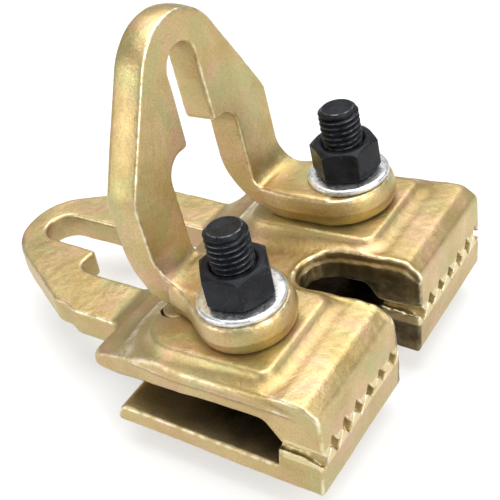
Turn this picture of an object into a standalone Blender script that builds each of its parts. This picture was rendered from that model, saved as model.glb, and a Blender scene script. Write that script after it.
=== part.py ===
"""Two-way pulling clamp for vehicle frames: two toothed forged jaws closed by two through bolts.

The upper jaw carries a flat pull loop behind it, and a forged pull arch stands on it over both bolts.
The upper jaw rocks on the domed ends of two fulcrum pins. It leans by SEAT_TILT, so its bolts, pins,
washers, nuts and arch are built in a seat frame (U, Y, W) whose W is the bolts' direction.

World frame: X towards the mouth, Y to the clamp's left, Z up, origin on the lower jaw's underside.
"""

import math

import bmesh
import bpy
from mathutils import Matrix, Vector

MM = 0.001
GAP = 0.3 * MM

# Origin and lean of the seat frame.
SEAT_X = -19.0 * MM
SEAT_Z = 7.5 * MM
SEAT_TILT = math.radians(4.15)

# Bolts, in the seat frame.
BOLT_U = 28.7 * MM
BOLT_Y = 40.9 * MM
BOLT_R = 8.0 * MM
BOLT_TOP = 75.6 * MM
BOLT_CHAMFER = 1.2 * MM
HEX_ACROSS_FLATS = 24.0 * MM
HEX_CROWN = 0.475
HEAD_TOP = -11.0 * MM
HEAD_HEIGHT = 10.0 * MM
NUT_HEIGHT = 13.7 * MM
NUT_TURN = {"left": math.radians(20.5), "right": math.radians(7.5)}
WASHER_R = 16.55 * MM
WASHER_THICKNESS = 2.5 * MM
HOLE_R = 8.7 * MM
ROUND_STEPS = 48

# Fulcrum pins, standing in the upper jaw behind the bolts, in the seat frame.
PIN_U = -3.6 * MM
PIN_HOLE_U = -3.9 * MM
PIN_Y = 40.9 * MM
PIN_R = 5.9 * MM
PIN_HOLE_R = 6.7 * MM
PIN_FOOT = 0.588 * MM
PIN_DOME_R = 10.0 * MM
PIN_TOP = 32.0 * MM
PIN_TOP_CHAMFER = 0.5 * MM

# Lower jaw.
LOWER_FRONT = 50.0 * MM
LOWER_REAR = -42.0 * MM
LOWER_HALF_WIDTH = 70.5 * MM
LOWER_PLATE = 7.5 * MM
LOWER_LIP_X = 31.5 * MM
LOWER_DRAFT = 0.075
BOLT_SLOT_X = 11.0 * MM
BOLT_SLOT_SHIFT = 1.1 * MM

# Teeth: a zigzag across the jaw, crossed by straight grooves.
TOOTH_VALLEY = 15.2 * MM
TOOTH_CREST = 19.2 * MM
TOOTH_PITCH = 9.0 * MM
TOOTH_COUNT = 17
TOOTH_GAP = 1.75 * MM
UPPER_TOOTH_SHIFT = 1.5 * MM
CROSS_GROOVE_X = (37.5 * MM, 44.0 * MM)
CROSS_GROOVE_HALF = 1.9 * MM
CROSS_GROOVE_DEPTH = 2.4 * MM

# U-shaped mouth notch, open at the front of both jaws.
NOTCH_X = 16.3 * MM
LOWER_NOTCH_R = (8.3 * MM, 10.0 * MM)
UPPER_NOTCH_R = (10.4 * MM, 12.0 * MM)

# Upper jaw.
UPPER_HALF_WIDTH = 68.2 * MM
UPPER_REAR_HALF_WIDTH = 63.3 * MM
UPPER_REAR = -55.3 * MM
UPPER_CORNER_R = 4.0 * MM
PAD_TOP = 32.2 * MM
PAD_FLARE = 1.17
LOOP_TOP = 21.0 * MM
LOOP_BOTTOM = 8.5 * MM
LOOP_ROOT = -47.0 * MM
LOOP_TIP = -140.5 * MM
LOOP_OFFSET = 1.2 * MM
LOOP_KEY_END = -52.0 * MM
LOOP_KEY_END_R = 8.0 * MM

# Outlines of the rear loop and the arch: half width, nose radius, shoulder from the tip, its radius.
LOOP_HOOK = (42.6 * MM, 26.0 * MM, 48.5 * MM, 9.0 * MM)
ARCH_HOOK = (45.0 * MM, 25.7 * MM, 52.2 * MM, 12.0 * MM)

# Their keyholes: web at the tip, neck half width, step from the tip, eye half width, eye corner radius.
LOOP_KEY = (10.5 * MM, 8.8 * MM, 43.9 * MM, 21.9 * MM, 6.0 * MM)
ARCH_KEY = (12.2 * MM, 8.6 * MM, 48.5 * MM, 22.1 * MM, 8.5 * MM)
KEY_STEP_SLANT = 0.7 * MM
KEY_STEP_R = 1.5 * MM

# Pull arch, in the seat frame.
ARCH_TOP = 132.0 * MM
ARCH_FRONT = -5.2 * MM
ARCH_THICKNESS = 13.7 * MM
ARCH_LEAN = math.radians(1.15)
ARCH_INNER_BEND = 12.0 * MM
ARCH_OUTER_BEND = 28.0 * MM
FOOT_BOTTOM = PAD_TOP + GAP
FOOT_TOP = 44.4 * MM
FOOT_ROOT_U = 12.5 * MM
LEG_INSET = 0.15 * MM
FOOT_R = 18.5 * MM
FOOT_INNER_R = 21.0 * MM
FOOT_INNER_Y = 19.3 * MM
FOOT_FRONT = 46.9 * MM

FORGED_EDGE = 1.6 * MM
SIDES = {"left": 1.0, "right": -1.0}

YELLOW_ZINC = ("yellow_zinc", (0.62, 0.47, 0.22), 0.38, 0.85)
BLACK_OXIDE = ("black_oxide", (0.025, 0.027, 0.032), 0.38, 0.75)
BRIGHT_ZINC = ("bright_zinc", (0.62, 0.64, 0.66), 0.32, 0.95)
PIN_STEEL = ("pin_steel", (0.45, 0.40, 0.30), 0.40, 0.90)


def clear_scene():
    """Remove every object of the opened file."""
    for item in list(bpy.data.objects):
        bpy.data.objects.remove(item, do_unlink=True)


def new_collection(name):
    """Make a collection in the scene."""
    collection = bpy.data.collections.new(name)
    bpy.context.scene.collection.children.link(collection)
    return collection


def finish_material(finish):
    """Return the Principled material of one finish, made once."""
    name, colour, roughness, metallic = finish
    material = bpy.data.materials.get(name)
    if material is None:
        material = bpy.data.materials.new(name)
        material.use_nodes = True
        shader = material.node_tree.nodes["Principled BSDF"]
        shader.inputs["Base Color"].default_value = (*colour, 1.0)
        shader.inputs["Roughness"].default_value = roughness
        shader.inputs["Metallic"].default_value = metallic
    return material


def arc(centre, radius, start, end, steps):
    """Points of a circular arc; angles in degrees."""
    angles = [math.radians(start + (end - start) * i / steps) for i in range(steps + 1)]
    return [(centre[0] + radius * math.cos(a), centre[1] + radius * math.sin(a)) for a in angles]


def rounded(corners, steps=4):
    """Outline through (x, y, radius) corners, each corner replaced by its fillet arc."""
    points = []
    for index, (x, y, radius) in enumerate(corners):
        here = Vector((x, y))
        before = Vector(corners[index - 1][:2]) - here
        after = Vector(corners[(index + 1) % len(corners)][:2]) - here
        if radius <= 0.0:
            points.append((x, y))
            continue
        before.normalize()
        after.normalize()
        half = before.angle(after) / 2.0
        centre = here + (before + after).normalized() * (radius / math.sin(half))
        reach = radius / math.tan(half)
        first = here + before * reach - centre
        last = here + after * reach - centre
        turn = first.angle_signed(last)
        for i in range(steps + 1):
            spoke = first.copy()
            spoke.rotate(Matrix.Rotation(-turn * i / steps, 2))
            points.append(tuple(centre + spoke))
    return points


def prism(name, outline, normal, low, high):
    """Closed solid from a flat outline in XY, XZ or YZ, running from low to high along its normal."""
    curve = bpy.data.curves.new(name, "CURVE")
    curve.dimensions = "2D"
    curve.fill_mode = "BOTH"
    curve.extrude = (high - low) / 2.0
    spline = curve.splines.new("POLY")
    spline.points.add(len(outline) - 1)
    for point, (a, b) in zip(spline.points, outline):
        point.co = (a, b, 0.0, 1.0)
    spline.use_cyclic_u = True
    source = bpy.data.objects.new(name + "_outline", curve)
    bpy.context.scene.collection.objects.link(source)
    middle = (low + high) / 2.0
    frames = {
        "Z": Matrix.Translation((0.0, 0.0, middle)),
        "Y": Matrix.Translation((0.0, middle, 0.0)) @ Matrix.Rotation(math.pi / 2.0, 4, "X"),
        "X": Matrix.Translation((middle, 0.0, 0.0))
        @ Matrix.Rotation(math.pi / 2.0, 4, "Z")
        @ Matrix.Rotation(math.pi / 2.0, 4, "X"),
    }
    source.matrix_world = frames[normal]
    bpy.context.view_layer.update()
    evaluated = source.evaluated_get(bpy.context.evaluated_depsgraph_get())
    mesh = bpy.data.meshes.new_from_object(evaluated)
    mesh.transform(source.matrix_world)
    bpy.data.objects.remove(source, do_unlink=True)
    shape = bmesh.new()
    shape.from_mesh(mesh)
    bmesh.ops.remove_doubles(shape, verts=shape.verts, dist=1e-6)
    flat = math.radians(0.5)
    bmesh.ops.dissolve_limit(shape, angle_limit=flat, verts=shape.verts, edges=shape.edges)
    bmesh.ops.recalc_face_normals(shape, faces=shape.faces)
    shape.to_mesh(mesh)
    shape.free()
    mesh.name = name
    return bpy.data.objects.new(name, mesh)


def cylinder(name, centre, radius, low, high, steps=ROUND_STEPS):
    """Closed upright cylinder."""
    shape = bmesh.new()
    bmesh.ops.create_cone(
        shape, cap_ends=True, segments=steps, radius1=radius, radius2=radius, depth=high - low
    )
    bmesh.ops.translate(shape, vec=(centre[0], centre[1], (low + high) / 2.0), verts=shape.verts)
    mesh = bpy.data.meshes.new(name)
    shape.to_mesh(mesh)
    shape.free()
    return bpy.data.objects.new(name, mesh)


def turned(name, profile, collection, steps=ROUND_STEPS):
    """Closed solid of revolution about Z from an (r, z) profile that runs down its outer side."""
    mesh = bpy.data.meshes.new(name)
    points = [(r, 0.0, z) for r, z in profile]
    edges = [(i, i + 1) for i in range(len(points) - 1)]
    if profile[0][0] > 0.0:
        edges.append((len(points) - 1, 0))
    mesh.from_pydata(points, edges, [])
    item = bpy.data.objects.new(name, mesh)
    collection.objects.link(item)
    screw = item.modifiers.new("turn", "SCREW")
    screw.steps = steps
    screw.render_steps = steps
    screw.use_merge_vertices = True
    screw.merge_threshold = 1e-6
    return item


def hexagon(turn):
    """Corners of the bolts' hexagon, the first one at angle turn."""
    radius = HEX_ACROSS_FLATS / math.sqrt(3.0)
    angles = [turn + math.radians(60.0 * i) for i in range(6)]
    return [(radius * math.cos(a), radius * math.sin(a)) for a in angles]


def combine(target, tool, operation, cutters):
    """Add an exact Boolean of target with tool, and file tool as a cutter."""
    cutters.objects.link(tool)
    tool.hide_render = True
    tool.display_type = "WIRE"
    boolean = target.modifiers.new(tool.name, "BOOLEAN")
    boolean.object = tool
    boolean.operation = operation
    boolean.solver = "EXACT"


def soften(item, width, segments=2, angle=38.0):
    """Round the sharp edges, as a forging's edges are."""
    bevel = item.modifiers.new("soft_edges", "BEVEL")
    bevel.limit_method = "ANGLE"
    bevel.angle_limit = math.radians(angle)
    bevel.width = width
    bevel.segments = segments
    bevel.use_clamp_overlap = True


def set_origin(item, origin):
    """Move the object's origin without moving its shape."""
    item.data.transform(Matrix.Translation(-Vector(origin)))
    item.location = origin


def at_bolt(side):
    """Bolt axis of one side, in the seat frame."""
    return (BOLT_U, SIDES[side] * BOLT_Y)


def fulcrum():
    """World point where the pins' domes rock on the lower jaw, on the mid plane."""
    centre = PIN_FOOT + PIN_DOME_R
    return (SEAT_X + PIN_U * math.cos(SEAT_TILT) - centre * math.sin(SEAT_TILT), 0.0, LOWER_PLATE)


def hook_half(tip, end, hook):
    """Upper half of a loop's outline along X, from end to the nose, for a tip that points to -X."""
    half_width, nose_r, shoulder_reach, shoulder_r = hook
    shoulder = tip + shoulder_reach
    nose = tip + nose_r
    reach = math.hypot(shoulder - nose, half_width)
    flank = math.atan2(half_width, shoulder - nose) + math.acos(nose_r / reach)
    nose_arc = arc((nose, 0.0), nose_r, math.degrees(flank), 180.0, 7)
    corners = [(end, half_width, 0.0), (shoulder, half_width, shoulder_r), (*nose_arc[0], 0.0)]
    side = rounded([(end, 0.0, 0.0)] + corners)[1:]
    return side + nose_arc[1:]


def key_half(tip, end, end_radius, key):
    """Upper half of a keyhole's outline along X: a narrow neck that steps out to a wide eye."""
    tip_web, narrow, step_reach, wide, wide_r = key
    neck = tip + tip_web + narrow
    step = tip + step_reach
    neck_arc = arc((neck, 0.0), narrow, 90.0, 180.0, 8)
    corners = [
        (end, 0.0, 0.0),
        (end, wide, end_radius),
        (step - KEY_STEP_SLANT, wide, wide_r),
        (step + KEY_STEP_SLANT, narrow + 0.4 * MM, KEY_STEP_R),
        (*neck_arc[0], 0.0),
    ]
    return rounded(corners)[1:] + neck_arc[1:]


def mirrored(half):
    """Whole outline from its upper half, which ends on the X axis."""
    return half + [(x, -y) for x, y in reversed(half[:-1])]


def zigzag(offset, base, shift=0.0):
    """Outline in YZ between the teeth's zigzag, raised by offset and moved along Y, and z = base."""
    reach = TOOTH_COUNT * TOOTH_PITCH / 2.0
    points = []
    for index in range(2 * TOOTH_COUNT + 1):
        height = TOOTH_VALLEY if index % 2 == 0 else TOOTH_CREST
        points.append((index * TOOTH_PITCH / 2.0 - reach + shift, height + offset))
    return points + [(reach + shift, base), (-reach + shift, base)]


def cut_teeth(jaw, upper, cutters):
    """Cut the zigzag and the cross grooves into one jaw's lip."""
    half = LOWER_HALF_WIDTH + 10.0 * MM
    if upper:
        tool = prism("upper_teeth", zigzag(TOOTH_GAP, 0.0, UPPER_TOOTH_SHIFT), "X", 25.0 * MM, 60.0 * MM)
        groove_base = TOOTH_VALLEY + TOOTH_GAP
        direction = 1.0
    else:
        tool = prism("lower_teeth", zigzag(0.0, 30.0 * MM), "X", LOWER_LIP_X - 5.0 * MM, 60.0 * MM)
        groove_base = TOOTH_CREST
        direction = -1.0
    combine(jaw, tool, "DIFFERENCE", cutters)
    for index, x in enumerate(CROSS_GROOVE_X):
        tip = groove_base + direction * CROSS_GROOVE_DEPTH
        mouth = groove_base - direction * CROSS_GROOVE_DEPTH
        outline = [
            (x - 2.0 * CROSS_GROOVE_HALF, mouth),
            (x + 2.0 * CROSS_GROOVE_HALF, mouth),
            (x, tip),
        ]
        groove = prism(f"{jaw.name}_groove_{index}", outline, "Y", -half, half)
        combine(jaw, groove, "DIFFERENCE", cutters)


def notch(name, radii, low, high):
    """Cutter for the mouth notch, a U open to the front whose radius changes from low to high."""
    front = LOWER_FRONT + 15.0 * MM
    outline = arc((NOTCH_X, 0.0), 1.0, 90.0, 270.0, 14) + [(front, -1.0), (front, 1.0)]
    tool = prism(name, outline, "Z", low, high)
    middle = (low + high) / 2.0
    for vertex in tool.data.vertices:
        radius = radii[0] if vertex.co.z < middle else radii[1]
        vertex.co.y *= radius
        if vertex.co.x < NOTCH_X:
            vertex.co.x = NOTCH_X + (vertex.co.x - NOTCH_X) * radius
    return tool


def make_lower_jaw(parts, cutters):
    """Flat lower jaw: plate, raised toothed lip, mouth notch and two bolt slots."""
    lip_top = TOOTH_CREST + 1.0 * MM
    profile = rounded(
        [
            (LOWER_REAR, 0.0, 1.5 * MM),
            (LOWER_FRONT - 0.6 * MM, 0.0, 1.0 * MM),
            (LOWER_FRONT + 0.5 * MM, lip_top, 0.0),
            (LOWER_LIP_X + 1.0 * MM, lip_top, 0.0),
            (LOWER_LIP_X, LOWER_PLATE, 1.5 * MM),
            (LOWER_REAR + 3.0 * MM, LOWER_PLATE, 3.0 * MM),
        ],
        steps=3,
    )
    jaw = prism("lower_jaw", profile, "Y", -LOWER_HALF_WIDTH, LOWER_HALF_WIDTH)
    for vertex in jaw.data.vertices:
        vertex.co.y -= math.copysign(vertex.co.z * LOWER_DRAFT, vertex.co.y)
    parts.objects.link(jaw)
    soften(jaw, FORGED_EDGE)
    cut_teeth(jaw, False, cutters)
    tool = notch("lower_notch", LOWER_NOTCH_R, -5.0 * MM, 25.0 * MM)
    combine(jaw, tool, "DIFFERENCE", cutters)
    for side, sign in SIDES.items():
        rear = BOLT_SLOT_X - BOLT_SLOT_SHIFT
        front = BOLT_SLOT_X + BOLT_SLOT_SHIFT
        y = sign * BOLT_Y
        outline = arc((rear, y), HOLE_R, 90.0, 270.0, 14) + arc((front, y), HOLE_R, -90.0, 90.0, 14)
        slot = prism(f"lower_slot_{side}", outline, "Z", -5.0 * MM, 12.0 * MM)
        combine(jaw, slot, "DIFFERENCE", cutters)
    return jaw


def upper_profile():
    """Side outline of the upper jaw's plate and lip, in XZ."""
    corners = [
        (-60.0, 16.6, 0.0),
        (-42.0, 17.7, 10.0),
        (-13.0, 23.4, 20.0),
        (9.0, 25.8, 0.0),
        (26.8, 27.2, 4.0),
        (33.4, 18.6, 3.0),
        (34.4, 13.0, 0.0),
        (50.5, 13.0, 0.0),
        (50.0, 36.2, 1.8),
        (44.0, 40.2, 5.0),
        (36.0, 40.2, 8.0),
        (24.0, 38.6, 20.0),
        (9.0, 36.6, 20.0),
        (-8.0, 34.2, 20.0),
        (-30.0, 31.0, 20.0),
        (-52.0, 24.9, 10.0),
        (-60.0, 20.6, 0.0),
    ]
    return rounded([(x * MM, z * MM, r * MM) for x, z, r in corners], steps=3)


def loop_root_profile():
    """Side outline of the ramp that drops from the plate to the rear loop, in XZ."""
    corners = [
        (-80.0, 8.6, 0.0),
        (-46.5, 8.6, 1.5),
        (-44.0, 13.0, 6.0),
        (-34.0, 23.5, 0.0),
        (-28.0, 28.0, 0.0),
        (-30.0, 30.6, 0.0),
        (-52.0, 24.5, 10.0),
        (-59.0, 20.9, 8.0),
        (-80.0, 20.9, 0.0),
    ]
    return rounded([(x * MM, z * MM, r * MM) for x, z, r in corners], steps=3)


def make_pad(side, seat, cutters, jaw):
    """Raised flat boss under one foot of the arch, with flared walls."""
    sign = SIDES[side]
    corners = [(-9.8, 17.5, 9.0), (48.6, 17.5, 5.0), (48.6, 61.5, 4.0), (-9.8, 61.5, 17.0)]
    outline = rounded([(u * MM, y * sign * MM, r * MM) for u, y, r in corners], steps=5)
    pad = prism(f"pad_{side}", outline, "Z", 22.0 * MM, PAD_TOP)
    centre = Vector((19.4 * MM, sign * 39.5 * MM, 0.0))
    for vertex in pad.data.vertices:
        if vertex.co.z < PAD_TOP - 1.0 * MM:
            vertex.co.x = centre.x + (vertex.co.x - centre.x) * PAD_FLARE
            vertex.co.y = centre.y + (vertex.co.y - centre.y) * PAD_FLARE
    pad.parent = seat
    combine(jaw, pad, "UNION", cutters)


def make_upper_jaw(parts, cutters, seat):
    """Upper jaw: sloping plate with toothed lip, two pads, ramp and rear pull loop."""
    half = UPPER_HALF_WIDTH + 3.0 * MM
    jaw = prism("upper_jaw", upper_profile(), "Y", -half, half)
    set_origin(jaw, fulcrum())
    parts.objects.link(jaw)
    plan_half = [
        (60.0 * MM, UPPER_HALF_WIDTH + 0.6 * MM, 0.0),
        (-10.0 * MM, UPPER_HALF_WIDTH - 1.0 * MM, 0.0),
        (UPPER_REAR, UPPER_REAR_HALF_WIDTH - 0.6 * MM, UPPER_CORNER_R),
    ]
    plan = rounded(plan_half + [(x, -y, r) for x, y, r in reversed(plan_half)])
    combine(jaw, prism("upper_plan", plan, "Z", 0.0, 60.0 * MM), "INTERSECT", cutters)
    reach = LOOP_HOOK[0] - GAP
    ramp = prism("loop_root", loop_root_profile(), "Y", LOOP_OFFSET - reach, LOOP_OFFSET + reach)
    combine(jaw, ramp, "UNION", cutters)
    outline = [(x, y + LOOP_OFFSET) for x, y in mirrored(hook_half(LOOP_TIP, LOOP_ROOT, LOOP_HOOK))]
    combine(jaw, prism("rear_loop", outline, "Z", LOOP_BOTTOM, LOOP_TOP), "UNION", cutters)
    for side in SIDES:
        make_pad(side, seat, cutters, jaw)
    outline = mirrored(key_half(LOOP_TIP, LOOP_KEY_END, LOOP_KEY_END_R, LOOP_KEY))
    outline = [(x, y + LOOP_OFFSET) for x, y in outline]
    combine(jaw, prism("loop_keyhole", outline, "Z", 0.0, 40.0 * MM), "DIFFERENCE", cutters)
    soften(jaw, FORGED_EDGE)
    tool = notch("upper_notch", UPPER_NOTCH_R, 12.0 * MM, 46.0 * MM)
    combine(jaw, tool, "DIFFERENCE", cutters)
    cut_teeth(jaw, True, cutters)
    for side in SIDES:
        bore = cylinder(f"upper_bore_{side}", at_bolt(side), HOLE_R, 5.0 * MM, 40.0 * MM)
        bore.parent = seat
        combine(jaw, bore, "DIFFERENCE", cutters)
        place = (PIN_HOLE_U, SIDES[side] * PIN_Y)
        socket = cylinder(f"pin_socket_{side}", place, PIN_HOLE_R, 5.0 * MM, 40.0 * MM, steps=32)
        socket.parent = seat
        combine(jaw, socket, "DIFFERENCE", cutters)
    return jaw


def arch_side_profile():
    """Side outline of the arch plate and its feet, in the seat frame's UW plane."""
    rise = ARCH_TOP + 20.0 * MM - FOOT_TOP
    drift = rise * math.tan(ARCH_LEAN)
    top = FOOT_TOP + rise
    back = ARCH_FRONT - ARCH_THICKNESS
    corners = [
        (FOOT_ROOT_U, FOOT_BOTTOM + LEG_INSET, 0.0),
        (FOOT_ROOT_U, FOOT_TOP - LEG_INSET, 0.0),
        (ARCH_FRONT, FOOT_TOP - LEG_INSET, ARCH_INNER_BEND),
        (ARCH_FRONT - drift, top, 0.0),
        (back - drift, top, 0.0),
        (back, FOOT_BOTTOM + LEG_INSET, ARCH_OUTER_BEND),
    ]
    return rounded(corners, steps=7)


def make_foot(side, seat, cutters, arch):
    """Round eye of one foot, with the flare that joins it to its leg."""
    sign = SIDES[side]
    inner = arc((FOOT_FRONT - FOOT_INNER_R, FOOT_INNER_Y + FOOT_INNER_R), FOOT_INNER_R, -90.0, 0.0, 14)
    outer = arc((FOOT_FRONT - FOOT_R, BOLT_Y), FOOT_R, 2.0, 125.0, 14)
    flare = [(-2.0, 45.7), (-2.0, 23.3), (1.5, 21.3), (6.0, 19.8), (11.0, 19.3)]
    outline = [(u * MM, y * MM) for u, y in flare] + inner + outer + [(8.0 * MM, 49.0 * MM)]
    outline = [(u, sign * y) for u, y in outline]
    foot = prism(f"foot_{side}", outline, "Z", FOOT_BOTTOM, FOOT_TOP)
    foot.parent = seat
    combine(arch, foot, "UNION", cutters)


def make_pull_arch(parts, cutters, seat):
    """Arch plate with the keyhole, bent forward into two feet that take the bolts."""
    outer = [(-x, y) for x, y in hook_half(-ARCH_TOP, 0.0, ARCH_HOOK)]
    outline = [(y, x) for x, y in mirrored(outer)]
    span = (-40.0 * MM, 40.0 * MM)
    arch = prism("pull_arch", outline, "X", *span)
    arch.parent = seat
    parts.objects.link(arch)
    side = prism("arch_side", arch_side_profile(), "Y", -70.0 * MM, 70.0 * MM)
    side.parent = seat
    combine(arch, side, "INTERSECT", cutters)
    key = [(-x, y) for x, y in key_half(-ARCH_TOP, 0.0, 0.0, ARCH_KEY)]
    keyhole = prism("arch_keyhole", [(y, x) for x, y in mirrored(key)], "X", *span)
    keyhole.parent = seat
    combine(arch, keyhole, "DIFFERENCE", cutters)
    for side_name in SIDES:
        make_foot(side_name, seat, cutters, arch)
    soften(arch, FORGED_EDGE)
    for side_name in SIDES:
        bore = cylinder(f"arch_bore_{side_name}", at_bolt(side_name), HOLE_R, 25.0 * MM, 55.0 * MM)
        bore.parent = seat
        combine(arch, bore, "DIFFERENCE", cutters)
    return arch


def make_fulcrum_pin(side, parts, seat):
    """Round pin with a domed foot, standing in the upper jaw and touching the lower jaw."""
    rim = math.degrees(math.asin(PIN_R / PIN_DOME_R))
    dome = arc((0.0, PIN_FOOT + PIN_DOME_R), PIN_DOME_R, rim - 90.0, -90.0, 6)
    profile = [(0.0, PIN_TOP), (PIN_R - PIN_TOP_CHAMFER, PIN_TOP), (PIN_R, PIN_TOP - PIN_TOP_CHAMFER)]
    pin = turned(f"fulcrum_pin_{side}", profile + dome[:-1] + [(0.0, PIN_FOOT)], parts, steps=32)
    pin.location = (PIN_U, SIDES[side] * PIN_Y, 0.0)
    pin.parent = seat
    return pin


def make_washer(side, parts, seat):
    """Flat washer between the arch's foot and the nut."""
    low = FOOT_TOP + GAP
    high = low + WASHER_THICKNESS
    edge = 0.5 * MM
    profile = [
        (HOLE_R, high),
        (WASHER_R - edge, high),
        (WASHER_R, high - edge),
        (WASHER_R, low),
        (HOLE_R, low),
    ]
    washer = turned(f"washer_{side}", profile, parts)
    washer.location = (*at_bolt(side), 0.0)
    washer.parent = seat
    return washer


def double_cone(name, low, high, collection):
    """Turned body whose 30 degree cones take the corners off a hexagon at both ends."""
    crown = HEX_ACROSS_FLATS * HEX_CROWN
    reach = HEX_ACROSS_FLATS / math.sqrt(3.0) + 1.0 * MM
    drop = (reach - crown) * math.tan(math.radians(30.0))
    profile = [(0.0, high), (crown, high), (reach, high - drop), (reach, low + drop), (crown, low), (0.0, low)]
    return turned(name, profile, collection)


def make_nut(side, parts, cutters, seat):
    """Hexagon nut on top of its washer, with its origin on the bolt axis."""
    low = FOOT_TOP + 2.0 * GAP + WASHER_THICKNESS
    high = low + NUT_HEIGHT
    nut = prism(f"nut_{side}", hexagon(NUT_TURN[side]), "Z", low, high)
    nut.location = (*at_bolt(side), 0.0)
    nut.parent = seat
    parts.objects.link(nut)
    cone = double_cone(f"nut_crown_{side}", low, high, cutters)
    cutters.objects.unlink(cone)
    cone.location = nut.location
    cone.parent = seat
    combine(nut, cone, "INTERSECT", cutters)
    bore = cylinder(f"nut_bore_{side}", (0.0, 0.0), BOLT_R + GAP, low - 5.0 * MM, high + 5.0 * MM)
    bore.location = nut.location
    bore.parent = seat
    combine(nut, bore, "DIFFERENCE", cutters)
    return nut


def make_bolt(side, parts, cutters, seat):
    """Hexagon bolt: head under the lower jaw, shank up through both jaws, foot, washer and nut."""
    profile = [
        (0.0, BOLT_TOP),
        (BOLT_R - BOLT_CHAMFER, BOLT_TOP),
        (BOLT_R, BOLT_TOP - BOLT_CHAMFER),
        (BOLT_R, HEAD_TOP - HEAD_HEIGHT / 2.0),
        (0.0, HEAD_TOP - HEAD_HEIGHT / 2.0),
    ]
    bolt = turned(f"bolt_{side}", profile, parts)
    bolt.location = (*at_bolt(side), 0.0)
    bolt.parent = seat
    head = prism(f"bolt_head_{side}", hexagon(0.0), "Z", HEAD_TOP - HEAD_HEIGHT, HEAD_TOP)
    head.location = bolt.location
    head.parent = seat
    combine(bolt, head, "UNION", cutters)
    return bolt


def shade(item, finish):
    """Give one part its finish and smooth its round faces."""
    item.data.materials.append(finish_material(finish))
    item.data.shade_smooth()
    item.data.set_sharp_from_angle(angle=math.radians(35.0))


def build():
    """Make every part of the clamp."""
    clear_scene()
    parts = new_collection("pulling_clamp")
    cutters = new_collection("cutters")
    seat = bpy.data.objects.new("seat", None)
    seat.location = (SEAT_X, 0.0, SEAT_Z)
    seat.rotation_euler = (0.0, -SEAT_TILT, 0.0)
    parts.objects.link(seat)
    forged = [
        make_lower_jaw(parts, cutters),
        make_upper_jaw(parts, cutters, seat),
        make_pull_arch(parts, cutters, seat),
    ]
    for item in forged:
        shade(item, YELLOW_ZINC)
    for side in SIDES:
        shade(make_fulcrum_pin(side, parts, seat), PIN_STEEL)
        shade(make_washer(side, parts, seat), BRIGHT_ZINC)
        shade(make_nut(side, parts, cutters, seat), BLACK_OXIDE)
        shade(make_bolt(side, parts, cutters, seat), BLACK_OXIDE)


build()
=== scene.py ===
"""Looks of the two-way pulling clamp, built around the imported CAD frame.

The forged pieces are sampled distance fields, in millimetres, turned into fine meshes with numpy:
their fillets, tooth facets, trimmed rims and hammered unevenness are all real shape. The bolts,
nuts, washers and pins are turned or sampled the same way. Every piece stands for one CAD node.
"""

import math
from itertools import product

import bpy
import numpy as np
from mathutils import Matrix, Vector


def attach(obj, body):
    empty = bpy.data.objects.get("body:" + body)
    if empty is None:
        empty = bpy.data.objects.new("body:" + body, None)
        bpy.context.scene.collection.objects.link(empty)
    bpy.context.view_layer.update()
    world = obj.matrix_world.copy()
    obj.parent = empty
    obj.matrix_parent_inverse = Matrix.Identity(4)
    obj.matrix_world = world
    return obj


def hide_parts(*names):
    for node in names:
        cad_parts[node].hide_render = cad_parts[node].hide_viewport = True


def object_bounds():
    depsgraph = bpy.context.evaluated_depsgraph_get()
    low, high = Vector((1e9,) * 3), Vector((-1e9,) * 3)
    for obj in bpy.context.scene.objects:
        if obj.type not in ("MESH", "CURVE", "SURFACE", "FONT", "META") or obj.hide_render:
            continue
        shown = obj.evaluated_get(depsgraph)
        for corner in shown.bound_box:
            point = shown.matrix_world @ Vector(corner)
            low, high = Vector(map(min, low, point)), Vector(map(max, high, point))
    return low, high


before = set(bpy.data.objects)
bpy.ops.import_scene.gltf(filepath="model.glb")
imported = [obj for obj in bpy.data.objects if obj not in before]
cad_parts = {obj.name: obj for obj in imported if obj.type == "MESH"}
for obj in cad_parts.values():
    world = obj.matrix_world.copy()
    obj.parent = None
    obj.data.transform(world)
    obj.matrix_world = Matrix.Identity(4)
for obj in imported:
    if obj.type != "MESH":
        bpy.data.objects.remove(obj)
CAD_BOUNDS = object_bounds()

MM = 0.001

# Seat frame (U, Y, W) of everything bolted to the upper jaw: origin and lean.
SEAT_X, SEAT_Z, SEAT_TILT = -19.0, 7.5, math.radians(4.15)
SEAT_COS, SEAT_SIN = math.cos(SEAT_TILT), math.sin(SEAT_TILT)

BOLT_U, BOLT_Y, BOLT_R, BOLT_TOP = 28.7, 40.9, 8.0, 75.6
THREAD_PITCH, THREAD_DEPTH, THREAD_START = 2.31, 1.4, 37.0
CHAMFER_START, CHAMFER_SLOPE = 1.75, 1.15
HEX_FLATS, HEX_CROWN, HEX_EDGE = 24.0, 11.1, 0.25
HEX_CONE = math.radians(30.0)
HEAD_TOP, HEAD_HEIGHT, HEAD_FACE_R = -11.0, 10.0, 11.3
HOLE_R = 8.7
NUT_LOW, NUT_HEIGHT, NUT_BORE_R, NUT_SINK = 47.5, 13.7, 8.25, 1.1
NUT_TURN = {"left": 20.5, "right": 7.5}
WASHER_LOW, WASHER_THICK, WASHER_R = 44.7, 2.5, 16.55
PIN_U, PIN_HOLE_U, PIN_R, PIN_HOLE_R = -3.6, -3.9, 5.9, 6.7
PIN_FOOT, PIN_DOME_R, PIN_TOP = 0.588, 10.0, 32.0
SIDES = {"left": 1.0, "right": -1.0}

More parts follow.
